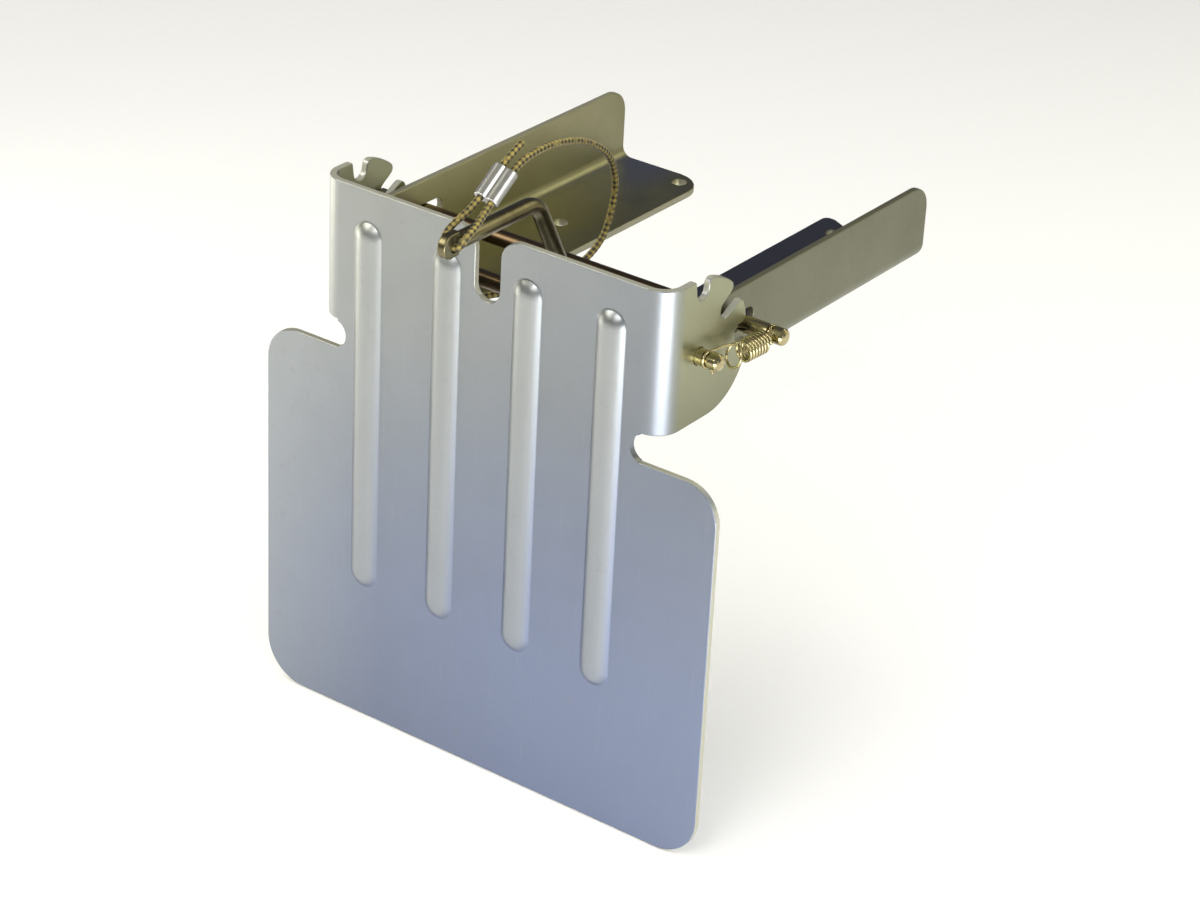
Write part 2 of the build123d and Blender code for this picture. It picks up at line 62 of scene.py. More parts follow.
# ------------------------------------------------------------------ camera
def make_camera():
    f = 3328.89
    az, el, roll = math.radians(35.10377), math.radians(27.75038), math.radians(2.96834)
    k = 1.016
    t = np.array([-56.71981, -110.60693, 1697.63]) * k
    d = np.array([math.sin(az) * math.cos(el), -math.cos(az) * math.cos(el), math.sin(el)])
    fwd = -d
    right = np.cross(fwd, [0, 0, 1])
    right /= np.linalg.norm(right)
    up = np.cross(right, fwd)
    r = np.array([right, -up, fwd])
    c, s = math.cos(roll), math.sin(roll)
    r = np.array([[c, -s, 0], [s, c, 0], [0, 0, 1]]) @ r
    pos = -r.T @ t
    m = Matrix.Identity(4)
    for i in range(3):
        m[i][0], m[i][1], m[i][2] = r[0][i], -r[1][i], -r[2][i]
    loc = P(*pos)
    for i in range(3):
        m[i][3] = loc[i]
    cam = bpy.data.cameras.new("camera")
    cam.sensor_width = 36.0
    cam.lens = f / 1200 * 36.0
    cam.clip_start, cam.clip_end = 0.05, 50
    ob = bpy.data.objects.new("camera", cam)
    bpy.context.scene.collection.objects.link(ob)
    ob.matrix_world = m
    bpy.context.scene.camera = ob
    return ob


camera = make_camera()


# ------------------------------------------------------------------ mesh tools
def new_object(name, verts, faces, smooth=True):
    me = bpy.data.meshes.new(name)
    me.from_pydata([tuple(v) for v in verts], [], faces)
    me.update()
    if smooth:
        me.polygons.foreach_set("use_smooth", [True] * len(me.polygons))
    ob = bpy.data.objects.new(name, me)
    bpy.context.scene.collection.objects.link(ob)
    return ob


def resample(pts, step):
    pts = np.asarray(pts, float)
    seg = np.linalg.norm(np.diff(pts, axis=0), axis=1)
    keep = np.r_[True, seg > 1e-9]
    pts = pts[keep]
    seg = np.linalg.norm(np.diff(pts, axis=0), axis=1)
    s = np.r_[0, np.cumsum(seg)]
    n = max(2, int(round(s[-1] / step)))
    u = np.linspace(0, s[-1], n + 1)
    return np.stack([np.interp(u, s, pts[:, k]) for k in range(3)], 1), u


def frames(pts):
    """Tangents and parallel-transported normals along a line of points."""
    tan = np.gradient(pts, axis=0)
    tan /= np.linalg.norm(tan, axis=1)[:, None]
    ref = np.array([0, 0, 1.0]) if abs(tan[0][2]) < 0.9 else np.array([1.0, 0, 0])
    n0 = np.cross(tan[0], ref)
    n0 /= np.linalg.norm(n0)
    nrm = [n0]
    for i in range(1, len(pts)):
        v = nrm[-1] - tan[i] * (nrm[-1] @ tan[i])
        v /= np.linalg.norm(v)
        nrm.append(v)
    nrm = np.array(nrm)
    return tan, nrm, np.cross(tan, nrm)


def smooth_path(pts, passes=2):
    pts = np.asarray(pts, float).copy()
    for _ in range(passes):
        q = pts.copy()
        q[1:-1] = (pts[:-2] + 2 * pts[1:-1] + pts[2:]) / 4
        pts = q
    return pts


def tube(name, pts, radius, seg=12, radius_fn=None, cap=True):
    """A closed tube round a line of points. radius_fn(i, theta) scales the radius."""
    pts = np.asarray(pts, float)
    _, nrm, bi = frames(pts)
    th = np.arange(seg) * 2 * math.pi / seg
    rad = np.full((len(pts), seg), radius)
    if radius_fn is not None:
        rad = rad * radius_fn(len(pts), th)
    co = (pts[:, None, :] + rad[:, :, None] * (np.cos(th)[None, :, None] * nrm[:, None, :]
                                              + np.sin(th)[None, :, None] * bi[:, None, :]))
    co = co.reshape(-1, 3)
    faces = []
    for i in range(len(pts) - 1):
        a = i * seg
        for j in range(seg):
            k = (j + 1) % seg
            faces.append((a + j, a + k, a + seg + k, a + seg + j))
    verts = list(map(tuple, co))
    if cap:
        tan = np.gradient(pts, axis=0)
        tan /= np.linalg.norm(tan, axis=1)[:, None]
        for end, sgn in ((0, -1), (len(pts) - 1, 1)):
            base = end * seg
            r = float(rad[end].mean())
            ring = [base + j for j in range(seg)]
            for step in (0.55, 0.85):
                new = []
                for j in range(seg):
                    p = pts[end] + (co[base + j] - pts[end]) * math.sqrt(1 - step * step) \
                        + tan[end] * sgn * r * step * 0.5
                    new.append(len(verts))
                    verts.append(tuple(p))
                for j in range(seg):
                    k = (j + 1) % seg
                    q = (ring[j], ring[k], new[k], new[j])
                    faces.append(q if sgn > 0 else q[::-1])
                ring = new
            faces.append(tuple(ring) if sgn > 0 else tuple(ring[::-1]))
    return new_object(name, verts, faces)


def join(objs, name):
    """Joins several meshes into one new object."""
    bm = bmesh.new()
    for o in objs:
        bm.from_mesh(o.data)
    me = bpy.data.meshes.new(name)
    bm.to_mesh(me)
    bm.free()
    me.polygons.foreach_set("use_smooth", [True] * len(me.polygons))
    ob = bpy.data.objects.new(name, me)
    bpy.context.scene.collection.objects.link(ob)
    for o in objs:
        bpy.data.objects.remove(o)
    return ob


def nurbs_points(points, resolution=16):
    """Points read from a smooth spline with these control points, in metres."""
    cu = bpy.data.curves.new("route", "CURVE")
    cu.dimensions = "3D"
    sp = cu.splines.new("NURBS")
    sp.points.add(len(points) - 1)
    for p, q in zip(sp.points, points):
        p.co = (q[0], q[1], q[2], 1.0)
    sp.order_u = 3
    sp.use_endpoint_u = True
    sp.resolution_u = resolution
    cu.resolution_u = resolution
    ob = bpy.data.objects.new("route", cu)
    bpy.context.scene.collection.objects.link(ob)
    bpy.context.view_layer.update()
    me = bpy.data.meshes.new_from_object(ob)
    out = np.array([tuple(v.co) for v in me.vertices], float)
    bpy.data.meshes.remove(me)
    bpy.data.objects.remove(ob)
    return out


# ------------------------------------------------------------------ cord
CORD_R = 0.0020
COIL = (-73.5, 39.8)
route = [
    (-2.2, 28.9, 41.0),
    (-2.9, 16.92, 35.87),
    (-2.9, -9.39, 17.35),
    (-6.2, -19.2, 11.6),
    (-7.2, -26.6, 7.4),
    (-5.6, -31.4, 2.9),
    (5.6, -31.4, 2.9),
    (7.2, -28.6, 8.8),
    (6.6, -19.6, 11.4),
    (2.9, -7.01, 15.72),
    (2.9, 18.07, 33.37),
    (2.8, 30.8, 35.6),
    (2.4, 45.6, 35.8),
    (2.0, 60.2, 33.6),
    (1.5, 75.6, 29.4),
    (1.0, 92.6, 20.8),
    (0.5, 104.6, 11.0),
    (0.2, 111.0, -2.0),
    (0.0, 111.8, -13.0),
    (-0.4, 109.0, -25.6),
    (-1.0, 104.8, -36.4),
    (-2.4, 97.6, -43.9),
    (-5.4, 89.2, -50.2),
    (-11.0, 80.6, -57.0),
    (-20.0, 70.2, -61.6),
    (-31.0, 57.0, -63.9),
    (-42.0, 42.6, -65.2),
]


def coil_points():
    """The turns of the put-away length: two wide and three high, wound from the outside."""
    r_out, r_in = 22.2, 17.95
    z = [-65.6, -61.4, -57.2]
    # turned angle in degrees -> (radius, height), each change before the last one's place
    keys = [(0, r_out, z[0]), (298, r_out, z[0]), (340, r_in, z[0]), (610, r_in, z[0]),
            (655, r_in, z[1]), (925, r_in, z[1]), (965, r_out, z[1]), (1235, r_out, z[1]),
            (1280, r_out, z[2]), (1545, r_out, z[2]), (1590, r_in, z[2]), (1865, r_in, z[2]),
            (1925, r_in, z[2] + 4.15), (1990, r_in, z[2] + 4.15)]
    ang = [k[0] for k in keys]
    out = []
    n = 16
    for i in range(89):
        a = i * 360 / n
        r = np.interp(a, ang, [k[1] for k in keys]) / (0.75 + 0.25 * math.cos(2 * math.pi / n))
        h = np.interp(a, ang, [k[2] for k in keys])
        phi = math.radians(-33 - a)
        out.append((COIL[0] + r * math.cos(phi), COIL[1] + r * math.sin(phi), h))
    return out


coil = coil_points()
last = coil[-1]
tail = [(-86.0, 54.6, -52.9), (-81.4, 58.2, -51.4)]
ctrl = route + coil + tail
line = nurbs_points([tuple(P(*p)) for p in ctrl], 14)
cord_line, cord_s = resample(line, 0.00030)


def braid(name, pts, radius, step_len, seg=48, pitch=0.00158, carriers=4):
    """A braided cord: strands that pass over and under each other, raised on a round core,
    gold one way round and mostly black the other way, with colours by strand and painted shade in the hollows."""
    pts = np.asarray(pts, float)
    s = np.arange(len(pts)) * step_len
    _, nrm, bi = frames(pts)
    th = np.arange(seg) * 2 * math.pi / seg
    S, TH = np.meshgrid(s, th, indexing="ij")
    TH = TH + 0.35
    u = carriers * TH / (2 * math.pi) + S / (2 * pitch)
    v = -carriers * TH / (2 * math.pi) + S / (2 * pitch)
    fu, fv = u - np.floor(u), v - np.floor(v)
    iu, iv = np.floor(u).astype(int), np.floor(v).astype(int)
    over = (iu + iv) % 2 == 0
    across = np.where(over, fu, fv)
    along = np.where(over, fv, fu)
    crown = np.sin(math.pi * across) ** 0.7
    arch = np.sin(math.pi * along)
    rad = radius * (0.88 + 0.12 * crown * (0.45 + 0.55 * arch))
    # the yarns that make up one strand
    yarn = 0.5 + 0.5 * np.cos(2 * math.pi * (across * 4 + 0.5))
    rad = rad - radius * 0.012 * yarn
    gold = np.array([0.37, 0.285, 0.068])
    dark = np.array([0.018, 0.015, 0.008])
    rng = np.random.default_rng(7)
    jit = rng.uniform(0.0, 1.0, size=(8192,))
    cell = (iu * 131 + iv * 17) % 8192
    j = jit[cell]
    # a black strand shows as a short fleck, with gold fibres over its ends
    fleck = np.clip((crown * arch - 0.20) / 0.20, 0, 1) * np.where(j > 0.10, 1.0, 0.35)
    col = np.where(over[..., None], gold + (dark - gold) * fleck[..., None], gold)
    tone = 0.80 + 0.42 * jit[(cell * 7 + 3) % 8192]
    # painted shade: darker where a strand dips under the next and in the grooves between its yarns
    shade = (0.22 + 0.78 * crown * (0.55 + 0.45 * arch)) * (1 - 0.22 * yarn)
    col = col * (tone * shade)[..., None]
    co = pts[:, None, :] + rad[:, :, None] * (np.cos(TH)[..., None] * nrm[:, None, :]
                                             + np.sin(TH)[..., None] * bi[:, None, :])
    verts = co.reshape(-1, 3)
    idx = np.arange(len(pts) * seg).reshape(len(pts), seg)
    nxt = np.roll(idx, -1, axis=1)
    quads = np.stack([idx[:-1], nxt[:-1], nxt[1:], idx[1:]], -1).reshape(-1, 4)
    me = bpy.data.meshes.new(name)
    n0 = len(verts)
    tan = np.gradient(pts, axis=0)
    tan /= np.linalg.norm(tan, axis=1)[:, None]
    extra, faces = [], [tuple(q) for q in quads.tolist()]
    for end, sgn in ((0, -1), (len(pts) - 1, 1)):
        ring = idx[end].tolist()
        for st in (0.6, 0.9):
            new = []
            for j in range(seg):
                p = pts[end] + (verts[idx[end, j]] - pts[end]) * math.sqrt(1 - st * st) \
                    + tan[end] * sgn * radius * st * 0.45
                new.append(n0 + len(extra))
                extra.append(p)
            for j in range(seg):
                k = (j + 1) % seg
                q = (ring[j], ring[k], new[k], new[j])
                faces.append(q if sgn > 0 else q[::-1])
            ring = new
        faces.append(tuple(ring) if sgn > 0 else tuple(ring[::-1]))
    allv = np.vstack([verts, np.array(extra)])
    me.from_pydata(allv.tolist(), [], faces)
    me.update()
    me.polygons.foreach_set("use_smooth", [True] * len(me.polygons))
    cols = np.ones((len(allv), 4), np.float32)
    cols[:n0, :3] = col.reshape(-1, 3)
    cols[n0:, :3] = np.array([0.16, 0.11, 0.02])
    attr = me.color_attributes.new("braid", "FLOAT_COLOR", "POINT")
    attr.data.foreach_set("color", cols.ravel())
    ob = bpy.data.objects.new(name, me)
    bpy.context.scene.collection.objects.link(ob)
    return ob


cord = braid("pull_cord_braided", cord_line, CORD_R, 0.00030)


# ------------------------------------------------------------------ materials
def material(name):
    m = bpy.data.materials.new(name)
    m.use_nodes = True
    nt = m.node_tree
    for n in list(nt.nodes):
        if n.type != "OUTPUT_MATERIAL":
            nt.nodes.remove(n)
    out = next(n for n in nt.nodes if n.type == "OUTPUT_MATERIAL")
    bsdf = nt.nodes.new("ShaderNodeBsdfPrincipled")
    nt.links.new(bsdf.outputs[0], out.inputs[0])
    return m, nt, bsdf


def node(nt, kind, **kw):
    n = nt.nodes.new(kind)
    for k, v in kw.items():
        if k in n.inputs:
            n.inputs[k].default_value = v
        else:
            setattr(n, k, v)
    return n


def ramped(nt, value, lo, hi, to0=0.0, to1=1.0):
    r = node(nt, "ShaderNodeMapRange", **{"From Min": lo, "From Max": hi, "To Min": to0, "To Max": to1})
    nt.links.new(value, r.inputs["Value"])
    return r.outputs[0]


def calc(nt, op, a, b=None):
    m = node(nt, "ShaderNodeMath", operation=op)
    for k, v in enumerate((a, b)):
        if v is None:
            continue
        if isinstance(v, (int, float)):
            m.inputs[k].default_value = v
        else:
            nt.links.new(v, m.inputs[k])
    return m.outputs[0]


def sheared(nt, tc, kind):
    """1 on the sheared edge faces of a sheet part, 0 on its rolled faces."""
    ns = node(nt, "ShaderNodeSeparateXYZ")
    nt.links.new(tc.outputs["Normal"], ns.inputs[0])
    ps = node(nt, "ShaderNodeSeparateXYZ")
    nt.links.new(tc.outputs["Object"], ps.inputs[0])
    nx, ny, nz = (ramped(nt, calc(nt, "ABSOLUTE", ns.outputs[k]), 0.72, 0.93) for k in range(3))
    ax = calc(nt, "ABSOLUTE", ps.outputs[0])
    if kind == "plate":
        parts = [nz,
                 calc(nt, "MULTIPLY", nx, ramped(nt, ax, 0.1180, 0.1200)),
                 calc(nt, "MULTIPLY", nx, ramped(nt, ax, 0.0140, 0.0125)),
                 calc(nt, "MULTIPLY", calc(nt, "MULTIPLY", ny, ramped(nt, ax, 0.1085, 0.1100)),
                      ramped(nt, ps.outputs[1], -0.1805, -0.1790))]
    else:
        parts = [ny,
                 calc(nt, "MULTIPLY", nz, ramped(nt, ps.outputs[2], 0.030, 0.034)),
                 calc(nt, "MULTIPLY", nx, ramped(nt, ax, 0.050, 0.046))]
    out = parts[0]
    for q in parts[1:]:
        out = calc(nt, "MAXIMUM", out, q)
    return out


def mixed(nt, fac, a, b):
    """Mixes two colours; each is a socket or a tuple."""
    m = node(nt, "ShaderNodeMix", data_type="RGBA")
    if isinstance(fac, (int, float)):
        m.inputs[0].default_value = fac
    else:
        nt.links.new(fac, m.inputs[0])
    for k, v in ((6, a), (7, b)):
        if isinstance(v, tuple):
            m.inputs[k].default_value = (*v, 1)
        else:
            nt.links.new(v, m.inputs[k])
    return m.outputs[2]


def metal(name, light, dark, rough=(0.28, 0.42), grain=2600.0, grain_bump=0.06, wave=9.0,
          wave_bump=0.15, scratches=0.25, mottling=14.0, sheet=None, low=None, deep=None,
          edge=(0.50, 0.47, 0.34), painted_ear_reflection=None, stain=0.30, middle=None, painted_flange_reflection=None,
          shelf_x=(0.055, 0.080), shelf_y=(-0.03, 0.07), painted_far_web_shade=None):
    """Tumbled or plated metal: soft mottling, a fine pressed grain, faint scratches.
    A sheet part has duller sheared edges; low and deep are painted cool shade towards its lower
    right and its foot. The ear, middle, flange and far web tints are painted reflected light and shade."""
    m, nt, b = material(name)
    b.inputs["Metallic"].default_value = 1.0
    tc = node(nt, "ShaderNodeTexCoord")
    big = node(nt, "ShaderNodeTexNoise", **{"Scale": mottling, "Detail": 5.0, "Roughness": 0.55})
    nt.links.new(tc.outputs["Object"], big.inputs["Vector"])
    ramp = node(nt, "ShaderNodeValToRGB")
    ramp.color_ramp.elements[0].position = 0.30
    ramp.color_ramp.elements[0].color = (*dark, 1)
    ramp.color_ramp.elements[1].position = 0.70
    ramp.color_ramp.elements[1].color = (*light, 1)
    nt.links.new(big.outputs["Fac"], ramp.inputs["Fac"])
    col = ramp.outputs["Color"]
    if low is not None:
        # painted shade: the plate darkens and cools from the top left to the bottom right
        ps = node(nt, "ShaderNodeSeparateXYZ")
        nt.links.new(tc.outputs["Object"], ps.inputs[0])
        g = calc(nt, "SUBTRACT", calc(nt, "MULTIPLY", ps.outputs[0], 0.95), ps.outputs[2])
        g = calc(nt, "ADD", g, calc(nt, "MULTIPLY", big.outputs["Fac"], 0.05))
        # the raised ribs take less of the painted shade and are lighter than the sheet round them
        raised_rib = ramped(nt, ps.outputs[1], -0.1938, -0.1962)
        keep = ramped(nt, raised_rib, 0.0, 1.0, 1.0, 0.50)
        col = mixed(nt, calc(nt, "MULTIPLY", ramped(nt, g, -0.12, 0.18), keep), col, low)
        # painted shade: darker and bluer still towards the foot, most on its right
        foot = calc(nt, "MULTIPLY", ramped(nt, ps.outputs[2], 0.00, -0.17, 0.0, 0.85),
                    ramped(nt, ps.outputs[0], -0.15, 0.03, 0.50, 1.0))
        col = mixed(nt, calc(nt, "MULTIPLY", foot, keep), col, deep)
        # painted light: the plate's left part is lighter and bluer
        col = mixed(nt, ramped(nt, ps.outputs[0], -0.07, -0.15, 0.0, 0.32), col, (0.46, 0.485, 0.51))
        col = mixed(nt, calc(nt, "MULTIPLY", raised_rib, 0.24), col, (0.50, 0.515, 0.505))
    # fine scratches, long thin noise in two directions
    mapping = node(nt, "ShaderNodeMapping")
    mapping.inputs["Scale"].default_value = (900.0, 900.0, 26.0)
    mapping.inputs["Rotation"].default_value = (0.15, 0.35, 0.1)
    nt.links.new(tc.outputs["Object"], mapping.inputs["Vector"])
    scr = node(nt, "ShaderNodeTexNoise", **{"Scale": 1.0, "Detail": 3.0, "Roughness": 0.6})
    nt.links.new(mapping.outputs[0], scr.inputs["Vector"])
    scr_r = ramped(nt, scr.outputs["Fac"], 0.60, 0.72, 0.0, scratches)
    col = mixed(nt, scr_r, col, tuple(min(1, c * 1.35) for c in light))
    # faint darker specks and stains
    st = node(nt, "ShaderNodeTexNoise", **{"Scale": mottling * 9.0, "Detail": 6.0, "Roughness": 0.7})
    nt.links.new(tc.outputs["Object"], st.inputs["Vector"])
    col = mixed(nt, ramped(nt, st.outputs["Fac"], 0.58, 0.74, 0.0, stain), col, tuple(c * 0.72 for c in dark))
    # roughness
    rn = node(nt, "ShaderNodeTexNoise", **{"Scale": mottling * 3.1, "Detail": 4.0, "Roughness": 0.6})
    nt.links.new(tc.outputs["Object"], rn.inputs["Vector"])
    rgh = ramped(nt, rn.outputs["Fac"], 0.3, 0.7, rough[0], rough[1])
    if middle is not None:
        # painted shade: between the ear faces the rods' plating is darkened to a dull brown; its roughness is
        # raised there too
        xs = node(nt, "ShaderNodeSeparateXYZ")
        nt.links.new(tc.outputs["Object"], xs.inputs[0])
        inner = ramped(nt, calc(nt, "ABSOLUTE", xs.outputs[0]), 0.112, 0.090)
        col = mixed(nt, inner, col, middle)
        rgh = calc(nt, "ADD", rgh, calc(nt, "MULTIPLY", inner, 0.16))
    if sheet is not None:
        mask = sheared(nt, tc, sheet)
        if painted_ear_reflection is not None:
            # painted reflection and shade: the ear faces are yellower, as from warm light, and darker towards
            # their low end
            es = node(nt, "ShaderNodeSeparateXYZ")
            nt.links.new(tc.outputs["Normal"], es.inputs[0])
            eo = node(nt, "ShaderNodeSeparateXYZ")
            nt.links.new(tc.outputs["Object"], eo.inputs[0])
            on_ear = calc(nt, "MULTIPLY", ramped(nt, calc(nt, "ABSOLUTE", es.outputs[0]), 0.55, 0.98),
                          ramped(nt, eo.outputs[1], -0.188, -0.178))
            ear_reflection_and_shade = mixed(nt, ramped(nt, eo.outputs[2], 0.030, -0.010), painted_ear_reflection, tuple(c * 0.70 for c in painted_ear_reflection))
            col = mixed(nt, on_ear, col, ear_reflection_and_shade)
        if painted_flange_reflection is not None:
            # painted reflection: the flange's top is bluer, on the left one only towards its far end
            sn = node(nt, "ShaderNodeSeparateXYZ")
            nt.links.new(tc.outputs["Normal"], sn.inputs[0])
            so = node(nt, "ShaderNodeSeparateXYZ")
            nt.links.new(tc.outputs["Object"], so.inputs[0])
            far = calc(nt, "MULTIPLY", ramped(nt, sn.outputs[2], 0.80, 0.98), ramped(nt, so.outputs[1], *shelf_y))
            far = calc(nt, "MULTIPLY", far, ramped(nt, calc(nt, "ABSOLUTE", so.outputs[0]), *shelf_x))
            col = mixed(nt, calc(nt, "MULTIPLY", far, 0.9), col, painted_flange_reflection)
            # painted shade: the web is darker towards its back
            if painted_far_web_shade is not None:
                web = calc(nt, "MULTIPLY", ramped(nt, calc(nt, "ABSOLUTE", sn.outputs[0]), 0.80, 0.98),
                           ramped(nt, so.outputs[1], -0.01, 0.07))
                col = mixed(nt, web, col, painted_far_web_shade)
        col = mixed(nt, mask, col, edge)
        rgh = calc(nt, "ADD", rgh, calc(nt, "MULTIPLY", mask, 0.20))
        nt.links.new(ramped(nt, mask, 0.0, 1.0, 1.0, 0.50), b.inputs["Metallic"])
    nt.links.new(col, b.inputs["Base Color"])
    nt.links.new(rgh, b.inputs["Roughness"])
    # bump: grain over soft waves
    gn = node(nt, "ShaderNodeTexNoise", **{"Scale": grain, "Detail": 2.0, "Roughness": 0.5})
    nt.links.new(tc.outputs["Object"], gn.inputs["Vector"])
    wv = node(nt, "ShaderNodeTexNoise", **{"Scale": wave, "Detail": 1.0, "Roughness": 0.4})
    nt.links.new(tc.outputs["Object"], wv.inputs["Vector"])
    b1 = node(nt, "ShaderNodeBump", **{"Strength": wave_bump, "Distance": 0.002})
    nt.links.new(wv.outputs["Fac"], b1.inputs["Height"])
    b2 = node(nt, "ShaderNodeBump", **{"Strength": grain_bump, "Distance": 0.0002})
    nt.links.new(gn.outputs["Fac"], b2.inputs["Height"])
    nt.links.new(b1.outputs[0], b2.inputs["Normal"])
    nt.links.new(b2.outputs[0], b.inputs["Normal"])
    return m


# the plate's low and deep tints are painted cool shade, its ear tint a painted warm reflection darkened low down
plate_m = metal("plate_aluminium", (0.368, 0.382, 0.366), (0.334, 0.348, 0.335), rough=(0.33, 0.42),
                sheet="plate", low=(0.218, 0.238, 0.278), deep=(0.222, 0.262, 0.385), edge=(0.41, 0.405, 0.33), scratches=0.07,
                painted_ear_reflection=(0.325, 0.330, 0.222))
# the brackets are one aluminium in two copies; the right one's darker colours and edges are painted shade
right_m = metal("bracket_aluminium_right", (0.190, 0.191, 0.137), (0.162, 0.163, 0.112), rough=(0.34, 0.44),
                sheet="bracket", edge=(0.105, 0.100, 0.066), scratches=0.08, painted_flange_reflection=(0.158, 0.162, 0.195),
                shelf_x=(0.030, 0.034), shelf_y=(-0.30, -0.25))
left_m = metal("bracket_aluminium_left", (0.33, 0.315, 0.185), (0.28, 0.268, 0.155), rough=(0.34, 0.46),
               sheet="bracket", edge=(0.26, 0.25, 0.18), scratches=0.08, painted_flange_reflection=(0.33, 0.345, 0.40),
               painted_far_web_shade=(0.215, 0.205, 0.120))
# middle is painted shade on the rods between the ear faces
rod_m = metal("plated_steel", (0.54, 0.475, 0.27), (0.36, 0.305, 0.16), rough=(0.13, 0.22), mottling=60,
              wave=40, wave_bump=0.05, middle=(0.135, 0.095, 0.055))
lever_m = metal("lever_steel", (0.215, 0.188, 0.105), (0.135, 0.118, 0.066), rough=(0.28, 0.40), mottling=60,
                wave=40, wave_bump=0.08)
spring_m = metal("spring_wire", (0.52, 0.46, 0.26), (0.40, 0.35, 0.19), rough=(0.18, 0.26), mottling=90,
                 wave=60, wave_bump=0.02, scratches=0.05, stain=0.15, grain_bump=0.02)
ferrule_m = metal("ferrule_aluminium", (0.74, 0.74, 0.73), (0.64, 0.64, 0.64), rough=(0.30, 0.38),
                  mottling=90, wave=80, wave_bump=0.03, scratches=0.05, stain=0.05, grain_bump=0.03)
weld_m = metal("weld_bead", (0.30, 0.26, 0.17), (0.15, 0.12, 0.08), rough=(0.35, 0.5), mottling=300,
               wave=300, wave_bump=0.2)

cord_m, nt, b = material("cord_braid")
at = node(nt, "ShaderNodeVertexColor")
at.layer_name = "braid"
tc = node(nt, "ShaderNodeTexCoord")
fib = node(nt, "ShaderNodeTexNoise", **{"Scale": 5200.0, "Detail": 2.0, "Roughness": 0.6})
nt.links.new(tc.outputs["Object"], fib.inputs["Vector"])
fr = node(nt, "ShaderNodeMapRange", **{"From Min": 0.3, "From Max": 0.7, "To Min": 0.75, "To Max": 1.25})
nt.links.new(fib.outputs["Fac"], fr.inputs["Value"])
mul = node(nt, "ShaderNodeVectorMath", operation="SCALE")
nt.links.new(at.outputs["Color"], mul.inputs[0])
nt.links.new(fr.outputs[0], mul.inputs["Scale"])
nt.links.new(mul.outputs[0], b.inputs["Base Color"])
bp = node(nt, "ShaderNodeBump", **{"Strength": 0.35, "Distance": 0.0001})
nt.links.new(fib.outputs["Fac"], bp.inputs["Height"])
nt.links.new(bp.outputs[0], b.inputs["Normal"])
b.inputs["Roughness"].default_value = 0.55
b.inputs["Sheen Weight"].default_value = 0.25
b.inputs["Sheen Roughness"].default_value = 0.4

for name, mat in (("trolling_plate", plate_m), ("left_bracket", left_m), ("right_bracket", right_m),
                  ("pivot_rod", rod_m), ("lock_rod", rod_m), ("release_lever", lever_m),
                  ("lever_weld", weld_m), ("crimp_ferrule", ferrule_m)):
    me = N[name].data
    me.materials.clear()
    me.materials.append(mat)

cord.data.materials.append(cord_m)


# ------------------------------------------------------------------ springs
def spring(name, s):
    """A close-wound extension spring hooked into the grooves of both rods. At the plate's end
    its last turn is opened out and runs into a long hook with a curled tip."""
    a = np.array([s * 121.4, 29.87, -43.99])
    b = np.array([s * 129.0, 77.47, -43.99])
    u = (b - a) / np.linalg.norm(b - a)
    total = float(np.linalg.norm(b - a))
    up = np.array([0, 0, 1.0])
    out = np.cross(u, up) * s
    out /= np.linalg.norm(out)
    wire, rc = 0.78, 5.67
    hook_r = 3.55 + wire + 0.08
    p0, p1 = 5.2, total - 6.4                     # between these it stretches with the lock
    k = (p1 - p0) / (38.75 - 5.2 - 6.4)

    def at(seated, turn, r=rc):
        """A point on the coil: seated is its place along the axis with the lock home,
        turn its angle from the top towards the outside, in turns."""
        x = p0 + (seated - p0) * k
        sag = 3.7 - 0.105 * (seated - 18)
        ang = 2 * math.pi * turn
        return a + u * x + up * (r * math.cos(ang) - sag) + out * (r * math.sin(ang))

    turns = 7.25
    e0, e1 = 20.4, 31.9
    n = int(turns * 36)
    body = [at(e0 + (e1 - e0) * i / n, turns * i / n) for i in range(n + 1)]
    # the opened turn: forward at its outer side, back to the body on its inner side
    keys_t = [-1.0, -0.87, -0.75, -0.5, -0.25, -0.1, 0.0]
    keys_x = [17.2, 15.6, 14.6, 14.0, 16.4, 19.2, e0]
    ring = [at(float(np.interp(q, keys_t, keys_x)), q, rc + 0.25) for q in np.linspace(-1.0, 0.0, 40)[:-1]]
    # the long hook: from the ring's top forward over the rod, round its front and under it
    top = ring[0]
    lead = []
    start = a + up * hook_r + u * 0.6
    for q in np.linspace(0, 1, 18)[1:-1]:
        mid = top * (1 - q) + start * q
        lead.append(mid + up * 1.15 * math.sin(math.pi * q) + out * 0.5 * math.sin(math.pi * q))
    arc = [a + hook_r * (math.cos(t) * u + math.sin(t) * up)
           for t in np.linspace(math.radians(82), math.radians(262), 26)]
    # the tip curls away from the rod below it
    tip = [arc[-1] + u * 1.2 - up * 0.25 + out * 0.3, arc[-1] + u * 2.3 - up * 1.1 + out * 0.9,
           arc[-1] + u * 2.6 - up * 2.3 + out * 1.5, arc[-1] + u * 1.9 - up * 3.2 + out * 2.0]
    line1 = tip[::-1] + arc[::-1] + lead[::-1] + ring + body
    # lock end: the last turn leaves the body and hooks over the lock rod
    e = body[-1]
    bstart = b + up * hook_r - u * 2.2
    hook = []
    for q in np.linspace(0, 1, 10)[1:]:
        w = q * q * (3 - 2 * q)
        hook.append(e * (1 - w) + bstart * w)
    for t in np.linspace(math.radians(115), math.radians(-85), 28):
        hook.append(b + hook_r * (math.cos(t) * u + math.sin(t) * up))
    hook.append(hook[-1] - u * 1.0 + up * 0.1)
    pts = smooth_path(np.array(line1 + hook), 2)
    pts = np.array([tuple(P(*q)) for q in pts])
    pts, _ = resample(pts, 0.00045)
    ob = tube(name, pts, wire / 1000, seg=14)
    ob.data.materials.append(spring_m)
    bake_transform(ob)
    return ob


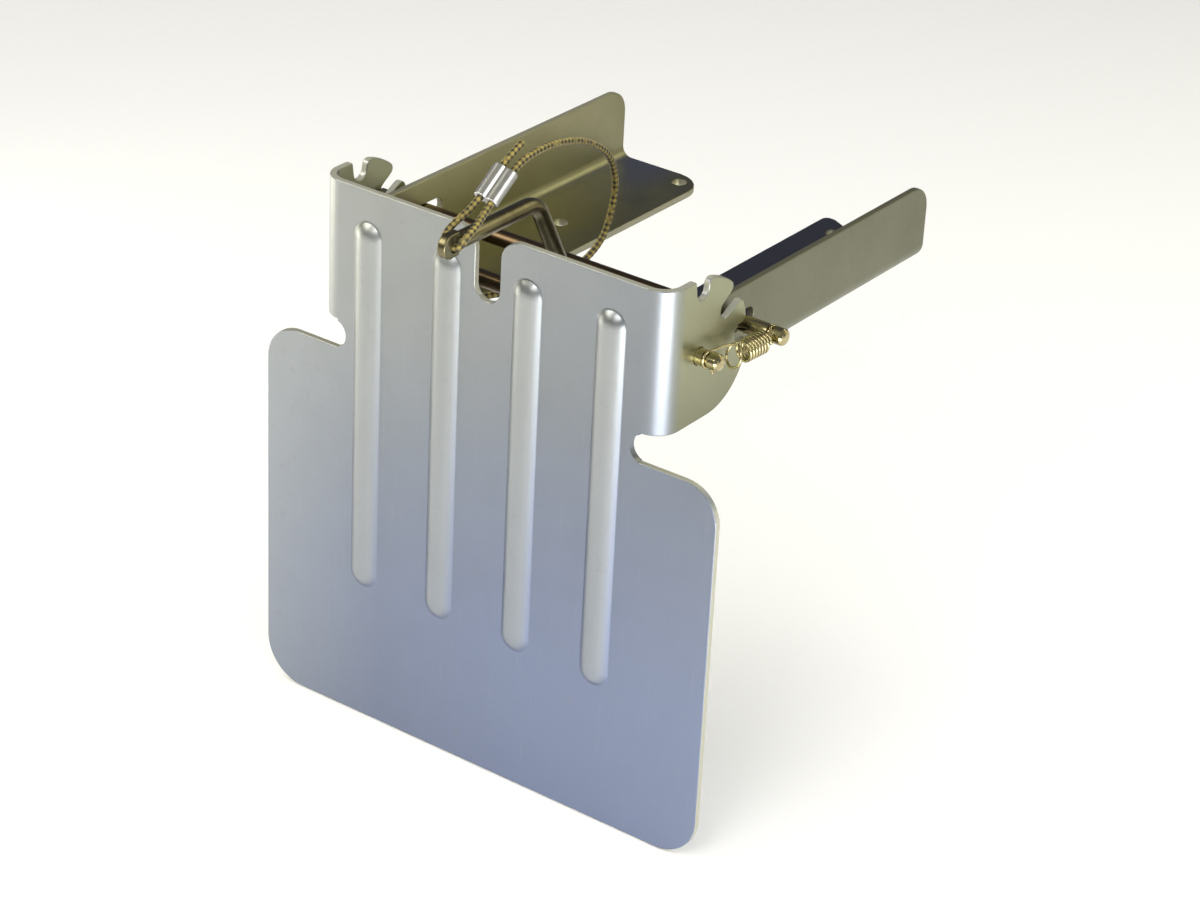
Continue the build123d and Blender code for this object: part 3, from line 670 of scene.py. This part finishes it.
for nm, s in (("right_spring", 1), ("left_spring", -1)):
    ob = spring(nm + "_coil", s)
    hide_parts(nm)


# ------------------------------------------------------------------ stopper knot
def knot():
    c = np.array([-78.5, 58.8, -51.1])
    pts = []
    for t in np.linspace(0, 2 * math.pi, 161)[:-8]:
        x = math.sin(t) + 2 * math.sin(2 * t)
        y = math.cos(t) - 2 * math.cos(2 * t)
        z = -math.sin(3 * t)
        pts.append(c + np.array([z * 1.15, x * 0.72, y * 0.72]) * 1.0)
    pts = np.array([tuple(P(*p)) for p in pts])
    pts, _ = resample(smooth_path(pts, 2), 0.00030)
    return braid("cord_stopper_knot", pts, 0.00165, 0.00030)


kn = knot()
kn.data.materials.append(cord_m)
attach(kn, "lock")
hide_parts("cord_knot")
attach(cord, "lock")
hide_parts("pull_cord", "cord_coil")


# ------------------------------------------------------------------ floor and light
def floor():
    size = 6.0
    z = -0.2555
    me = bpy.data.meshes.new("floor")
    me.from_pydata([(-size, -size, z), (size, -size, z), (size, size, z), (-size, size, z)], [], [(0, 1, 2, 3)])
    ob = bpy.data.objects.new("floor", me)
    bpy.context.scene.collection.objects.link(ob)
    m, nt, b = material("floor")
    b.inputs["Base Color"].default_value = (0.90, 0.90, 0.905, 1)
    b.inputs["Roughness"].default_value = 0.75
    b.inputs["Specular IOR Level"].default_value = 0.2
    me.materials.append(m)


floor()


def area(name, az, el, dist, size, power, color=(1, 1, 1), target=(0, -0.15, -0.08), seen=True):
    """A soft box. az is the way it lies from the target: 0 is in front of the plate (-Y),
    90 to the right (+X); el is its height, both in degrees."""
    a, e = math.radians(az), math.radians(el)
    t = Vector(target)
    loc = t + dist * Vector((math.sin(a) * math.cos(e), -math.cos(a) * math.cos(e), math.sin(e)))
    li = bpy.data.lights.new(name, "AREA")
    li.shape = "RECTANGLE"
    li.size, li.size_y = size
    li.energy = power
    li.color = color
    ob = bpy.data.objects.new(name, li)
    bpy.context.scene.collection.objects.link(ob)
    ob.location = loc
    ob.rotation_euler = (t - loc).to_track_quat("-Z", "Y").to_euler()
    ob.visible_camera = False
    ob.visible_glossy = seen
    return ob


area("front_key", 12, 38, 2.2, (0.9, 0.6), 15, (1.0, 0.98, 0.94))
area("left_key", -48, 40, 2.0, (1.1, 0.9), 18, (1.0, 0.97, 0.86))
area("overhead", 20, 86, 3.6, (4.6, 4.6), 92, (1.0, 1.0, 1.0), target=(0.1, 0.2, -0.25), seen=False)
area("right_box", 92, 32, 1.6, (1.0, 0.8), 8, (1.0, 0.99, 0.95))
area("right_low", 55, -5, 0.62, (0.54, 0.30), 4.3, (0.98, 0.99, 1.0), target=(0.10, -0.185, -0.10))
area("left_low", -84, -3, 0.85, (0.60, 0.30), 1.5, (1.0, 0.95, 0.80), target=(0, -0.185, -0.07))
area("back_box", 147, 34, 1.8, (1.1, 0.8), 4.5, (1.0, 0.97, 0.74))
area("right_back", 140, 4, 1.5, (0.8, 0.4), 0.8, (1.0, 0.93, 0.62), target=(0, -0.10, -0.06))

world = bpy.data.worlds.new("world")
bpy.context.scene.world = world
world.use_nodes = True
nt = world.node_tree
for n in list(nt.nodes):
    nt.nodes.remove(n)
out = nt.nodes.new("ShaderNodeOutputWorld")
tc = nt.nodes.new("ShaderNodeTexCoord")
# the back of the studio is a dim blue grey, the front a soft grey
dot = node(nt, "ShaderNodeVectorMath", operation="DOT_PRODUCT")
dot.inputs[1].default_value = (-0.51, 0.72, 0.47)
nt.links.new(tc.outputs["Generated"], dot.inputs[0])
ramp = nt.nodes.new("ShaderNodeValToRGB")
el = ramp.color_ramp.elements
el[0].position, el[0].color = 0.0, (0.25, 0.26, 0.28, 1)
el[1].position, el[1].color = 1.0, (0.114, 0.120, 0.158, 1)
for pos, col in ((0.50, (0.19, 0.19, 0.18)), (0.76, (0.29, 0.28, 0.19)), (0.90, (0.120, 0.123, 0.153))):
    e = el.new(pos)
    e.color = (*col, 1)
mr = node(nt, "ShaderNodeMapRange", **{"From Min": -1.0, "From Max": 1.0})
nt.links.new(dot.outputs["Value"], mr.inputs["Value"])
nt.links.new(mr.outputs[0], ramp.inputs["Fac"])
bg = nt.nodes.new("ShaderNodeBackground")
nt.links.new(ramp.outputs["Color"], bg.inputs["Color"])
bg.inputs["Strength"].default_value = 1.0
pale = nt.nodes.new("ShaderNodeBackground")
pale.inputs["Color"].default_value = (0.86, 0.87, 0.88, 1)
lp = nt.nodes.new("ShaderNodeLightPath")
mix = nt.nodes.new("ShaderNodeMixShader")
nt.links.new(lp.outputs["Is Camera Ray"], mix.inputs[0])
nt.links.new(bg.outputs[0], mix.inputs[1])
nt.links.new(pale.outputs[0], mix.inputs[2])
nt.links.new(mix.outputs[0], out.inputs[0])

bpy.context.scene.view_settings.view_transform = "Standard"
